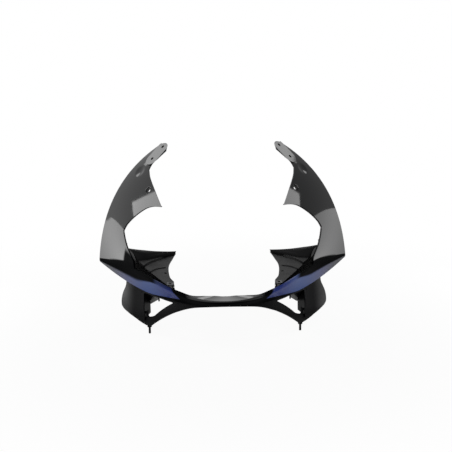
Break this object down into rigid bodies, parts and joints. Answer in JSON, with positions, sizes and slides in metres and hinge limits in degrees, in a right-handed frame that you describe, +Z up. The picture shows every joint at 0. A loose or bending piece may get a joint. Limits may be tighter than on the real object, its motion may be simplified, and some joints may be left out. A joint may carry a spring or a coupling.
{
  "type": "motorcycle front fairing",
  "caption": "Sport motorcycle upper front fairing: swept-back arms with mirror pads, a headlight window, spear cheeks, black intake frame and inner panels.",
  "frame": {"origin": "centre of the overall box, on the centre plane", "axes": "+X to the right as seen in the picture, +Y back towards the rider, +Z up"},
  "size_m": [0.523, 0.3188, 0.354],
  "materials": {
    "painted_cowl": "gloss black paint, deep blue on the spear cheeks",
    "satin_black": "moulded black plastic, satin",
    "matte_black": "moulded black plastic, fine matte grain",
    "zinc_steel": "black zinc on spring steel",
    "black_screw": "black oxide"
  },
  "bodies": {
    "root": {"upper_cowl": "painted_cowl", "lower_cowl": "satin_black", "left_inner_panel": "matte_black", "right_inner_panel": "matte_black", "clip_nuts": "zinc_steel", "panel_screws": "black_screw", "lower_screws": "black_screw"}
  },
  "joints": []
}
